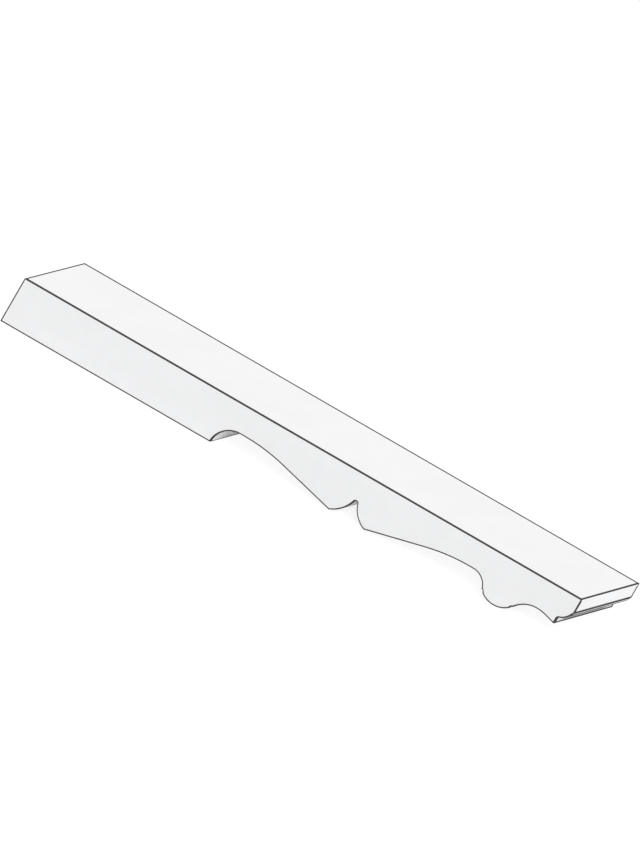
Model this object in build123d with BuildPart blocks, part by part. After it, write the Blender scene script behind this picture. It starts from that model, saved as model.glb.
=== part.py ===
from build123d import *
import os
from math import acos, asin, cos, degrees, radians

# A faux rafter tail: one beam, moulded in one piece, with a scroll sawn underside.
# Millimetres, Z up. The square butt end faces -X and the moulded nose faces +X.
# The origin is under the middle of the beam, on the level that the underside rests on,
# and every height below is measured up from that level.

# The whole beam
length = 1828.8
depth = 139.7
width = 171.45
arris_radius = 1.5

# Nose: a square end face over a third of a half round, then an upright lip down to the tip
end_face_height = 46.2
round_reach = 34.5
round_radius = 46.5
lip_height = 21.7
tip_height = 40.6

# Tail scoop, between the tip and the roll
tail_crown_height = 54.0
tail_slope_angle = 15.4
tail_sweep_radius = 120.0
tail_cove_radius = 74.0

# Roll, with a narrow ledge on each side of it
ledge_height = 23.2
ledge_width = 5.3
roll_width = 92.0
shoulder_radius = 12.0

# Pair of long scoops, mirrored about the notch between them
crown_height = 61.7
crown_flat = 15.0
sweep_radius = 565.0
slope_angle = 13.75
roll_cove_radius = 50.8

# Notch, cut up between two drooping points
point_height = 2.3
oval_radius = 87.3
oval_run = 53.4
notch_width = 8.0

# Directions along the outline, in degrees round from +X
UP = 90.0
BACK = 180.0
DOWN = 270.0
QUARTER = 90.0


def heading(angle):
    """A step of one millimetre in a direction of the elevation."""
    return Vector(1, 0).rotate(Axis.Z, angle)


def level(height):
    """The level line of the elevation at a height."""
    return Axis((0, height), (1, 0))


def arc_angle(fall, radius):
    """How far an arc that starts level has turned once it has fallen by this much."""
    return degrees(acos(1 - fall / radius))


def nose_outline(top_corner):
    """The end face, the round and the lip, from the top corner down to the tip."""
    end_face = Line(top_corner, top_corner - (0, end_face_height))
    round_foot = Vector(top_corner.X - round_reach, tip_height + lip_height)
    RadiusArc(end_face @ 1, round_foot, round_radius)
    lip = Line(round_foot, round_foot - (0, lip_height))
    return lip @ 1


def tail_scoop_outline(tip):
    """A slope, a sweep and a cove, from the tip back to the roll's front ledge."""
    sweep_height = tail_crown_height - tail_sweep_radius * (1 - cos(radians(tail_slope_angle)))
    climb = BACK - tail_slope_angle
    slope = PolarLine(tip, level(sweep_height), angle=climb)
    sweep = JernArc(slope @ 1, heading(climb), tail_sweep_radius, tail_slope_angle)
    cove_turn = arc_angle(tail_crown_height - ledge_height, tail_cove_radius)
    cove = JernArc(sweep @ 1, heading(BACK), tail_cove_radius, cove_turn)
    return cove @ 1


def roll_outline(start):
    """The roll on its two ledges: a broad belly that two tight shoulders bring up square."""
    reach = roll_width / 2 - shoulder_radius
    drop = ledge_height - shoulder_radius
    belly_radius = (reach**2 + ledge_height**2 - shoulder_radius**2) / (2 * drop)
    belly_turn = degrees(asin(reach / (belly_radius - shoulder_radius)))
    shoulder_turn = QUARTER - belly_turn
    ledge = Line(start, start - (ledge_width, 0))
    front = JernArc(ledge @ 1, heading(DOWN), shoulder_radius, -shoulder_turn)
    belly = JernArc(front @ 1, heading(DOWN - shoulder_turn), belly_radius, -2 * belly_turn)
    rear = JernArc(belly @ 1, heading(UP + shoulder_turn), shoulder_radius, -shoulder_turn)
    rear_ledge = Line(rear @ 1, rear @ 1 - (ledge_width, 0))
    return rear_ledge @ 1


def roll_cove_outline(start):
    """The cove that climbs from the roll's rear ledge to the crown of the long scoop."""
    turn = arc_angle(crown_height - ledge_height, roll_cove_radius)
    cove = JernArc(start, heading(BACK - turn), roll_cove_radius, turn)
    return cove @ 1


def long_scoops_outline(start):
    """One long scoop down to its point and up into the notch, and its mirror image."""
    flat = Line(start, start - (crown_flat, 0))
    sweep = JernArc(flat @ 1, heading(BACK), sweep_radius, slope_angle)
    slope = PolarLine(sweep @ 1, level(point_height), angle=BACK + slope_angle)
    point = slope @ 1
    notch_corner = Vector(point.X - oval_run, crown_height)
    oval = RadiusArc(point, notch_corner, oval_radius)
    notch_top = Line(notch_corner, notch_corner - (notch_width, 0))
    mirror([flat, sweep, slope, oval], about=Plane.YZ.offset((notch_top @ 0.5).X))
    return Vector(2 * (notch_top @ 0.5).X - start.X, start.Y)


def butt_cove_outline(start):
    """A quarter round hollow from the second crown down to the straight underside."""
    cove = JernArc(start, heading(BACK), crown_height, QUARTER)
    return cove @ 1


# The beam: its elevation, drawn from the nose back to the butt, through its whole width
with BuildPart() as rafter_tail:
    with BuildSketch(Plane.XZ) as elevation:
        with BuildLine():
            nose_corner = Vector(length / 2, depth)
            butt_corner = Vector(-length / 2, depth)
            tip = nose_outline(nose_corner)
            front_ledge = tail_scoop_outline(tip)
            rear_ledge = roll_outline(front_ledge)
            first_crown = roll_cove_outline(rear_ledge)
            second_crown = long_scoops_outline(first_crown)
            seat_end = butt_cove_outline(second_crown)
            Polyline(seat_end, (-length / 2, 0), butt_corner, nose_corner)
        make_face()
    extrude(amount=width / 2, both=True)
    side_outlines = rafter_tail.faces().filter_by(Axis.Y).edges()
    across = rafter_tail.edges().filter_by(Axis.Y)
    outer_corners = across.filter_by(lambda edge: not edge.is_interior)
    fillet(side_outlines + outer_corners, radius=arris_radius)

os.makedirs("parts", exist_ok=True)
rafter_tail.part.label = "rafter_tail"
export_step(rafter_tail.part, "parts/rafter_tail.step")
print("straight underside", round(seat_end.X + length / 2, 1), "mm")
print("volume", round(rafter_tail.part.volume / 1e9, 5), "cubic metres")
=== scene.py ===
"""The looks of a faux rafter tail: factory-primed polyurethane in plain, soft studio light.

The beam itself is the CAD node, which keeps its shape and gets its finish here.
"""

import sys

import logging
import math
from dataclasses import dataclass, field
from enum import Enum

import bmesh
import bpy
from mathutils import Matrix, Vector

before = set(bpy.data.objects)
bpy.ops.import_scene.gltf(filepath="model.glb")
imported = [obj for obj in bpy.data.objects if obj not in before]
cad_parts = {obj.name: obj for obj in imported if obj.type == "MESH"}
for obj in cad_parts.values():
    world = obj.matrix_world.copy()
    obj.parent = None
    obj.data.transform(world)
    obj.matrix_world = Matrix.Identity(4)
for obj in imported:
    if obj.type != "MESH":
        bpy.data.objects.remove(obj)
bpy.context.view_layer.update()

MM = 0.001
# A place that falls short of a zone by less than this still counts as in it.
ZONE_SLACK = 0.001 * MM

Point = tuple[float, float, float]
Socket = bpy.types.NodeSocket
Tree = bpy.types.NodeTree

log = logging.getLogger("rafter_tail")


def linear(hex_colour: str) -> tuple[float, float, float, float]:
    """Turns an sRGB hex colour into linear light.

    Args:
        hex_colour: A colour such as "#f6f6f6".

    Returns:
        Linear red, green, blue and an alpha of 1.
    """
    digits = hex_colour.lstrip("#")
    levels = [int(digits[at:at + 2], 16) / 255 for at in (0, 2, 4)]
    red, green, blue = [v / 12.92 if v <= 0.04045 else ((v + 0.055) / 1.055) ** 2.4 for v in levels]
    return red, green, blue, 1.0


def add_node(
    tree: Tree,
    kind: str,
    settings: dict[str, object] | None = None,
    values: dict[str | int, object] | None = None,
    links: dict[str | int, Socket] | None = None,
) -> bpy.types.Node:
    """Adds one node with its settings, its socket values and what feeds it.

    Args:
        tree: The node tree that gets the node.
        kind: The node's type, such as "ShaderNodeTexNoise".
        settings: Properties of the node itself, by name.
        values: Plain values of input sockets, by name or place.
        links: Output sockets that feed input sockets, by name or place.

    Returns:
        The new node.
    """
    node = tree.nodes.new(kind)
    for name, value in (settings or {}).items():
        setattr(node, name, value)
    for socket, value in (values or {}).items():
        node.inputs[socket].default_value = value
    for socket, source in (links or {}).items():
        tree.links.new(source, node.inputs[socket])
    return node


class SeenBy(Enum):
    """The kinds of ray that see the white studio."""

    CAMERA = "Is Camera Ray"
    GLOSS = "Is Glossy Ray"
    GLASS = "Is Transmission Ray"


def studio_ray(tree: Tree) -> Socket:
    """Adds the nodes that tell a ray that sees the white studio from one that carries light.

    Args:
        tree: The node tree of the floor or the world.

    Returns:
        A socket that is 1 for a camera, gloss or transmission ray and 0 for any other.
    """
    path = add_node(tree, "ShaderNodeLightPath")
    seen = path.outputs[SeenBy.CAMERA.value]
    for ray in (SeenBy.GLOSS, SeenBy.GLASS):
        either = add_node(
            tree,
            "ShaderNodeMath",
            {"operation": "MAXIMUM"},
            links={0: seen, 1: path.outputs[ray.value]},
        )
        seen = either.outputs[0]
    return seen


@dataclass(frozen=True)
class Grain:
    """A soft random pattern: the size of one patch, and how many finer layers it has."""

    patch_mm: float
    layers: float


@dataclass(frozen=True)
class NoseLine:
    """A rubbed line across the nose, or a line of dust and painted shade.

    It lies at x and z in metres and ends short of the sides. Its mark is full near the line and
    gone further from it.
    """

    x: float
    z: float
    short_mm: float
    full_mm: float
    gone_mm: float


@dataclass(frozen=True)
class PrimedPolyurethane:
    """High-density polyurethane, moulded smooth and sprayed with factory primer.

    The primer gives an even, chalky white with a low sheen. Its surface is faintly pebbled by the
    spray and faintly wavy from the mould. It is rubbed dark where the arrises are handled, and grey
    in the corner under the nose with dust and painted shade.
    """

    primer: str = "#f6f6f7"
    thin_primer: str = "#f4f4f5"
    rubbed: str = "#383534"
    rubbed_deep: str = "#252221"
    # Grey of dust and painted shade for the corner under the nose.
    dust_and_shade: str = "#9d9b98"
    roughness: float = 0.78
    roughness_spread: float = 0.06
    refractive_index: float = 1.5

    # How much each finer layer of a random pattern counts for, against the one before it.
    layer_share: float = 0.55
    # Passes of the spray gun leave patches about a hand wide, fingers leave smudges of about their
    # own width, and the mould waves over about the span of a hand.
    mottle_grain: Grain = Grain(95.0, 3.0)
    mottle_ends: tuple[float, float] = (0.35, 0.65)
    sheen_grain: Grain = Grain(95.0 / 3, 2.0)
    smudge_grain: Grain = Grain(26.0, 4.0)
    wave_grain: Grain = Grain(240.0, 1.0)
    wave_depth_mm: float = 0.35
    # The real pebbling is about 2 mm across, under a pixel, so it is drawn at 9 mm to show.
    pebble_grain: Grain = Grain(9.0, 1.0)
    pebble_depth_mm: float = 0.05

    # The rub is found by looking into the beam from its surface many times over, as far as the rub
    # reaches. The first share of those looks is open where it starts, the second where it is full.
    rub_starts: float = 0.957
    rub_full: float = 0.9
    rub_looks: int = 64
    # Beams are stacked and slid on their flat tops and stood on their ends, so the rub goes further
    # over those than down the sides next to them. It is drawn wider than real, so that it shows.
    rub_reach_mm: float = 5.5
    rub_wide_mm: float = 7.2
    rub_narrow_mm: float = 2.3

    # What bounds the zones of the rub, in metres: the top corner of the end face, the face of the
    # lip in x, and the foot of the end face in z.
    nose_corner: Point = (0.9144, 0.0857, 0.1397)
    lip_face: float = 0.8799
    end_face_foot: float = 0.0935
    # How far a zone goes in from there: past an eased arris, just into a flat face, down from a long
    # arris of a side, and in from the upright arrises of the ends.
    easing_mm: float = 1.6
    flat_mm: float = 0.3
    strip_mm: float = 7.0
    square_mm: float = 3.8

    # The arris under the end face turns by too little to be found that way, so its line is given,
    # and the round below it is rubbed once more along its fullest part.
    foot_rub: NoseLine = NoseLine(0.9144, 0.094, 4.2, 3.36, 6.3)
    belly_rub: NoseLine = NoseLine(0.9078, 0.0805, 5.2, 4.16, 7.8)
    # Grey dust, with painted shade of the overhang over it, lies in the inner corner between the
    # round and the lip, and thins out around it.
    corner_dust_and_shade: NoseLine = NoseLine(0.8799, 0.0595, 34.0, 7.0, 21.0)

    def material(self) -> bpy.types.Material:
        """Builds the primer.

        Returns:
            The material for the whole beam.
        """
        primer = bpy.data.materials.new("primed_polyurethane")
        primer.use_nodes = True
        tree = primer.node_tree
        tree.nodes.clear()
        place = add_node(tree, "ShaderNodeTexCoord").outputs["Object"]
        folded = self.fold_sides(tree, place)
        # The corner under the nose gets dust and painted shade.
        dusty_and_shaded = self.paint_dust_and_shade(tree, folded, self.mottle(tree, place))
        shader = add_node(
            tree,
            "ShaderNodeBsdfPrincipled",
            values={"Metallic": 0.0, "IOR": self.refractive_index},
            links={
                "Base Color": self.rub_arrises(tree, place, folded, dusty_and_shaded),
                "Roughness": self.sheen(tree, place),
                "Normal": self.pebble(tree, place),
            },
        )
        add_node(tree, "ShaderNodeOutputMaterial", links={"Surface": shader.outputs["BSDF"]})
        return primer

    def noise(self, tree: Tree, place: Socket, grain: Grain) -> Socket:
        """Adds soft random variation of a real size.

        Args:
            tree: The material's node tree.
            place: The object's own coordinates.
            grain: The pattern's size and layers.

        Returns:
            A socket from 0 to 1, mostly near 0.5.
        """
        pattern = add_node(
            tree,
            "ShaderNodeTexNoise",
            values={
                "Scale": 1 / (grain.patch_mm * MM),
                "Detail": grain.layers,
                "Roughness": self.layer_share,
            },
            links={"Vector": place},
        )
        return pattern.outputs["Fac"]

    def mottle(self, tree: Tree, place: Socket) -> Socket:
        """Adds the primer's slight variation in tone where the spray lies thinner.

        Args:
            tree: The material's node tree.
            place: The object's own coordinates.

        Returns:
            The primer's colour.
        """
        sprayed, thin = self.mottle_ends
        spread = add_node(
            tree,
            "ShaderNodeMapRange",
            {"interpolation_type": "SMOOTHSTEP"},
            {"From Min": sprayed, "From Max": thin},
            {"Value": self.noise(tree, place, self.mottle_grain)},
        )
        colour = add_node(
            tree,
            "ShaderNodeMix",
            {"data_type": "RGBA"},
            {"A": linear(self.primer), "B": linear(self.thin_primer)},
            {0: spread.outputs[0]},
        )
        return colour.outputs["Result"]

    def fold_sides(self, tree: Tree, place: Socket) -> Socket:
        """Adds coordinates that count both sides of the beam as one.

        Args:
            tree: The material's node tree.
            place: The object's own coordinates.

        Returns:
            The place in x, distance from the middle in y, and z.
        """
        other_side = add_node(
            tree, "ShaderNodeVectorMath", {"operation": "MULTIPLY"}, {1: (1.0, -1.0, 1.0)}, {0: place}
        )
        both_sides = add_node(
            tree,
            "ShaderNodeVectorMath",
            {"operation": "MAXIMUM"},
            links={0: place, 1: other_side.outputs[0]},
        )
        return both_sides.outputs[0]

    def paint_dust_and_shade(self, tree: Tree, folded: Socket, primer: Socket) -> Socket:
        """Adds the dust and the painted shade in the corner under the nose.

        Args:
            tree: The material's node tree.
            folded: The place in x, distance from the middle in y, and z.
            primer: The primer's colour.

        Returns:
            The colour with the dust and painted shade.
        """
        # Mixes the grey of dust and painted shade into the corner under the nose.
        dusty_and_shaded = add_node(
            tree,
            "ShaderNodeMix",
            {"data_type": "RGBA"},
            {"B": linear(self.dust_and_shade)},
            {0: self.nose_mark(tree, folded, self.corner_dust_and_shade), "A": primer},
        )
        return dusty_and_shaded.outputs["Result"]

    def rub_arrises(self, tree: Tree, place: Socket, folded: Socket, primer: Socket) -> Socket:
        """Adds the dark rub along every arris, and its smudges.

        Args:
            tree: The material's node tree.
            place: The object's own coordinates.
            folded: The place in x, distance from the middle in y, and z.
            primer: The primer's colour, with its dust and painted shade.

        Returns:
            The colour with the rubbed arrises.
        """
        open_view = add_node(
            tree,
            "ShaderNodeAmbientOcclusion",
            {"inside": True, "only_local": True, "samples": self.rub_looks},
            links={"Distance": self.rub_reach(tree, folded)},
        )
        arris = add_node(
            tree,
            "ShaderNodeMapRange",
            {"interpolation_type": "SMOOTHSTEP"},
            {"From Min": self.rub_starts, "From Max": self.rub_full, "To Min": 0.0, "To Max": 1.0},
            {"Value": open_view.outputs["AO"]},
        )
        rub = arris.outputs[0]
        for line in (self.foot_rub, self.belly_rub):
            either = add_node(
                tree,
                "ShaderNodeMath",
                {"operation": "MAXIMUM"},
                links={0: rub, 1: self.nose_mark(tree, folded, line)},
            )
            rub = either.outputs[0]
        tone = add_node(
            tree,
            "ShaderNodeMix",
            {"data_type": "RGBA"},
            {"A": linear(self.rubbed), "B": linear(self.rubbed_deep)},
            {0: self.noise(tree, place, self.smudge_grain)},
        )
        colour = add_node(
            tree,
            "ShaderNodeMix",
            {"data_type": "RGBA"},
            links={0: rub, "A": primer, "B": tone.outputs["Result"]},
        )
        return colour.outputs["Result"]

    def rub_zones(self) -> list[tuple[Point, float]]:
        """Lists where the rub reaches further or less far than on the rest of the beam.

        Returns:
            The lowest corner of each zone in x, distance from the middle in y, and z, and the
            reach there in millimetres. A later zone holds over an earlier one.
        """
        end, side, top = self.nose_corner
        foot = self.end_face_foot
        easing, flat, strip, square = [
            mm * MM for mm in (self.easing_mm, self.flat_mm, self.strip_mm, self.square_mm)
        ]
        nose = [
            ((self.lip_face - easing, 0.0, 0.0), self.rub_wide_mm),
            ((self.lip_face - easing, side - easing, 0.0), self.rub_reach_mm),
        ]
        sides = [
            ((square - end, side - easing, top - strip), self.rub_narrow_mm),
            ((end - strip, side - easing, foot), self.rub_narrow_mm),
        ]
        end_face = [
            ((end - flat, 0.0, foot), self.rub_wide_mm),
            ((end - flat, 0.0, top - strip), self.rub_narrow_mm),
            ((end - flat, side - square, foot), self.rub_wide_mm),
        ]
        top_face = [((-end, 0.0, top - flat), self.rub_wide_mm)]
        return nose + sides + end_face + top_face

    def rub_reach(self, tree: Tree, folded: Socket) -> Socket:
        """Adds how far the rub reaches from an arris on each face.

        Args:
            tree: The material's node tree.
            folded: The place in x, distance from the middle in y, and z.

        Returns:
            The reach in metres.
        """
        reach = None
        for corner, reach_mm in self.rub_zones():
            lowest = add_node(
                tree, "ShaderNodeVectorMath", {"operation": "MINIMUM"}, {1: corner}, {0: folded}
            )
            shortfall = add_node(
                tree,
                "ShaderNodeVectorMath",
                {"operation": "DISTANCE"},
                {1: corner},
                {0: lowest.outputs[0]},
            )
            in_zone = add_node(
                tree,
                "ShaderNodeMath",
                {"operation": "LESS_THAN"},
                {1: ZONE_SLACK},
                {0: shortfall.outputs["Value"]},
            )
            zone = add_node(
                tree,
                "ShaderNodeMix",
                {"data_type": "FLOAT"},
                {"A": self.rub_reach_mm * MM, "B": reach_mm * MM},
                {0: in_zone.outputs[0]},
            )
            if reach is not None:
                tree.links.new(reach, zone.inputs["A"])
            reach = zone.outputs["Result"]
        return reach

    def nose_mark(self, tree: Tree, folded: Socket, line: NoseLine) -> Socket:
        """Adds the mask of one line across the nose.

        Args:
            tree: The material's node tree.
            folded: The place in x, distance from the middle in y, and z.
            line: The line, and how far its mark spreads.

        Returns:
            The mask, from 1 on the line to 0 away from it.
        """
        end, side, _ = self.nose_corner
        line_end = (line.x, side - line.short_mm * MM, line.z)
        past_end = add_node(
            tree,
            "ShaderNodeVectorMath",
            {"operation": "MAXIMUM"},
            {1: (-end, line_end[1], 0.0)},
            {0: folded},
        )
        distance = add_node(
            tree,
            "ShaderNodeVectorMath",
            {"operation": "DISTANCE"},
            {1: line_end},
            {0: past_end.outputs[0]},
        )
        mask = add_node(
            tree,
            "ShaderNodeMapRange",
            {"interpolation_type": "SMOOTHSTEP"},
            {
                "From Min": line.gone_mm * MM,
                "From Max": line.full_mm * MM,
                "To Min": 0.0,
                "To Max": 1.0,
            },
            {"Value": distance.outputs["Value"]},
        )
        return mask.outputs[0]

    def sheen(self, tree: Tree, place: Socket) -> Socket:
        """Adds the primer's uneven sheen.

        Args:
            tree: The material's node tree.
            place: The object's own coordinates.

        Returns:
            The roughness.
        """
        sheen = add_node(
            tree,
            "ShaderNodeMapRange",
            values={
                "To Min": self.roughness - self.roughness_spread,
                "To Max": self.roughness + self.roughness_spread,
            },
            links={"Value": self.noise(tree, place, self.sheen_grain)},
        )
        return sheen.outputs[0]

    def pebble(self, tree: Tree, place: Socket) -> Socket:
        """Adds the mould's long waves and, over them, the spray's fine pebbling.

        Args:
            tree: The material's node tree.
            place: The object's own coordinates.

        Returns:
            The bumped normal.
        """
        waves = add_node(
            tree,
            "ShaderNodeBump",
            values={"Strength": 1.0, "Distance": self.wave_depth_mm * MM},
            links={"Height": self.noise(tree, place, self.wave_grain)},
        )
        pebbles = add_node(
            tree,
            "ShaderNodeBump",
            values={"Strength": 1.0, "Distance": self.pebble_depth_mm * MM},
            links={
                "Height": self.noise(tree, place, self.pebble_grain),
                "Normal": waves.outputs["Normal"],
            },
        )
        return pebbles.outputs["Normal"]


@dataclass
class RafterTail:
    """The beam: one moulded piece with a scroll-sawn underside."""

    node: str = "rafter_tail"
    finish: PrimedPolyurethane = field(default_factory=PrimedPolyurethane)

    def dress(self) -> bpy.types.Object:
        """Gives the CAD node its primer.

        Returns:
            The beam's object.
        """
        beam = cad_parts[self.node]
        primer = self.finish.material()
        for slot in beam.material_slots:
            slot.material = primer
        return beam


@dataclass
class Studio:
    """A plain white floor, an even white surround and one broad soft key light."""

    floor_half_m: float = 12.0
    floor_cells: int = 4
    floor_white: str = "#ffffff"
    floor_bounce: str = "#edeeee"
    # What the camera sees of the floor: a glow just short of white, and a share that takes shadows.
    floor_glow: float = 0.86
    floor_shade: float = 0.2
    surround: float = 0.62
    seen_white: float = 1.0
    key_strength: float = 1.575
    key_angle_deg: float = 28.0
    key_azimuth_deg: float = 54.1
    key_height_deg: float = 49.3

    def build_floor(self) -> bpy.types.Object:
        """Lays the floor at the level that the beam rests on.

        Returns:
            The floor's object.
        """
        mesh = bpy.data.meshes.new("studio_floor")
        sheet = bmesh.new()
        bmesh.ops.create_grid(
            sheet, x_segments=self.floor_cells, y_segments=self.floor_cells, size=self.floor_half_m
        )
        sheet.to_mesh(mesh)
        sheet.free()
        floor = bpy.data.objects.new("studio_floor", mesh)
        bpy.context.collection.objects.link(floor)
        mesh.materials.append(self.floor_material())
        return floor

    def floor_material(self) -> bpy.types.Material:
        """Builds matt white paper that glows just enough to be seen as white, with its shadows.

        Returns:
            The floor's material.
        """
        paper = bpy.data.materials.new("matt_paper")
        paper.use_nodes = True
        tree = paper.node_tree
        tree.nodes.clear()
        white = linear(self.floor_white)
        shade = tuple(self.floor_shade * level for level in white[:3]) + (1.0,)
        glow = add_node(
            tree, "ShaderNodeEmission", values={"Color": white, "Strength": self.floor_glow}
        )
        shadow = add_node(tree, "ShaderNodeBsdfDiffuse", values={"Color": shade})
        seen = add_node(
            tree, "ShaderNodeAddShader", links={0: glow.outputs[0], 1: shadow.outputs[0]}
        )
        bounce = add_node(
            tree, "ShaderNodeBsdfDiffuse", values={"Color": linear(self.floor_bounce)}
        )
        choice = add_node(
            tree,
            "ShaderNodeMixShader",
            links={0: studio_ray(tree), 1: bounce.outputs[0], 2: seen.outputs[0]},
        )
        add_node(tree, "ShaderNodeOutputMaterial", links={"Surface": choice.outputs[0]})
        return paper

    def build_surround(self) -> bpy.types.World:
        """Builds the even white surround.

        Returns:
            The world.
        """
        world = bpy.data.worlds.new("studio_surround")
        bpy.context.scene.world = world
        world.use_nodes = True
        tree = world.node_tree
        tree.nodes.clear()
        light, seen = [
            add_node(
                tree,
                "ShaderNodeBackground",
                values={"Color": linear(self.floor_white), "Strength": strength},
            )
            for strength in (self.surround, self.seen_white)
        ]
        choice = add_node(
            tree,
            "ShaderNodeMixShader",
            links={0: studio_ray(tree), 1: light.outputs[0], 2: seen.outputs[0]},
        )
        add_node(tree, "ShaderNodeOutputWorld", links={"Surface": choice.outputs[0]})
        return world

    def build_key(self) -> bpy.types.Object:
        """Hangs the key light, above and to the nose end of the front.

        Returns:
            The lamp's object.
        """
        lamp = bpy.data.lights.new("key_light", "SUN")
        lamp.energy = self.key_strength
        lamp.angle = math.radians(self.key_angle_deg)
        key = bpy.data.objects.new("key_light", lamp)
        bpy.context.collection.objects.link(key)
        round_about = math.radians(self.key_azimuth_deg)
        height = math.radians(self.key_height_deg)
        towards = Vector((
            math.sin(round_about) * math.cos(height),
            -math.cos(round_about) * math.cos(height),
            math.sin(height),
        ))
        key.rotation_euler = towards.to_track_quat("Z", "Y").to_euler()
        return key


@dataclass
class ObliqueCamera:
    """A very long lens with an oblique picture plane.

    The elevation lies flat in the picture plane, turned clockwise on the page, and so it keeps
    its true shape, while the width of the beam runs back at 45 degrees to its length.
    """

    lens_mm: float = 1250.0
    sensor_mm: float = 36.0
    clip_m: tuple[float, float] = (1.0, 200.0)
    picture_px: tuple[int, int] = (640, 853)
    px_per_metre: float = 351.6
    page_turn_deg: float = 30.0
    # How far a metre of the width runs along the beam and up it, in the picture.
    recede_x: float = 0.7245
    recede_z: float = 0.7245
    butt_corner: Point = (-0.9144, -0.0857, 0.1397)
    butt_corner_px: tuple[float, float] = (24.45, 278.3)

    def build(self) -> bpy.types.Object:
        """Makes the camera and puts it on its stand.

        Returns:
            The camera's object.
        """
        data = bpy.data.cameras.new("picture_camera")
        data.type = "PERSP"
        data.sensor_fit = "AUTO"
        data.sensor_width = self.sensor_mm
        data.lens = self.lens_mm
        data.clip_start, data.clip_end = self.clip_m
        data.dof.use_dof = False
        camera = bpy.data.objects.new("picture_camera", data)
        stand = bpy.data.objects.new("camera_stand", None)
        bpy.context.collection.objects.link(stand)
        bpy.context.collection.objects.link(camera)
        camera.parent = stand
        camera.matrix_parent_inverse = self.placing()
        bpy.context.scene.camera = camera
        return camera

    def placing(self) -> Matrix:
        """Works out where the camera stands and how its picture plane lies.

        Returns:
            The camera's placing in the world, with the picture plane along the elevation.
        """
        turn = math.radians(self.page_turn_deg)
        across = Vector((math.cos(turn), 0.0, math.sin(turn)))
        up = Vector((-math.sin(turn), 0.0, math.cos(turn)))
        back = Vector((self.recede_x, -1.0, self.recede_z)).normalized()
        wide, high = self.picture_px
        distance = self.lens_mm / self.sensor_mm * max(wide, high) / self.px_per_metre
        right_by = (self.butt_corner_px[0] - wide / 2) / self.px_per_metre
        up_by = (high / 2 - self.butt_corner_px[1]) / self.px_per_metre
        stand = Vector(self.butt_corner) - across * right_by - up * up_by + back * distance
        placing = Matrix.Identity(4)
        for column, axis in enumerate((across, up, back, stand)):
            placing.col[column][:3] = axis
        return placing


def main() -> None:
    """Builds the looks in order and reports each piece."""
    logging.basicConfig(level=logging.INFO, format="%(name)s: %(message)s", stream=sys.stdout)
    beam = RafterTail().dress()
    log.info("dressed %s in %s", beam.name, beam.material_slots[0].material.name)
    studio = Studio()
    log.info("laid %s", studio.build_floor().name)
    log.info("lit %s", studio.build_surround().name)
    log.info("hung %s", studio.build_key().name)
    log.info("placed %s", ObliqueCamera().build().name)
    bpy.context.scene.view_settings.view_transform = "Standard"
    bpy.context.view_layer.update()


if __name__ == "__main__":
    main()
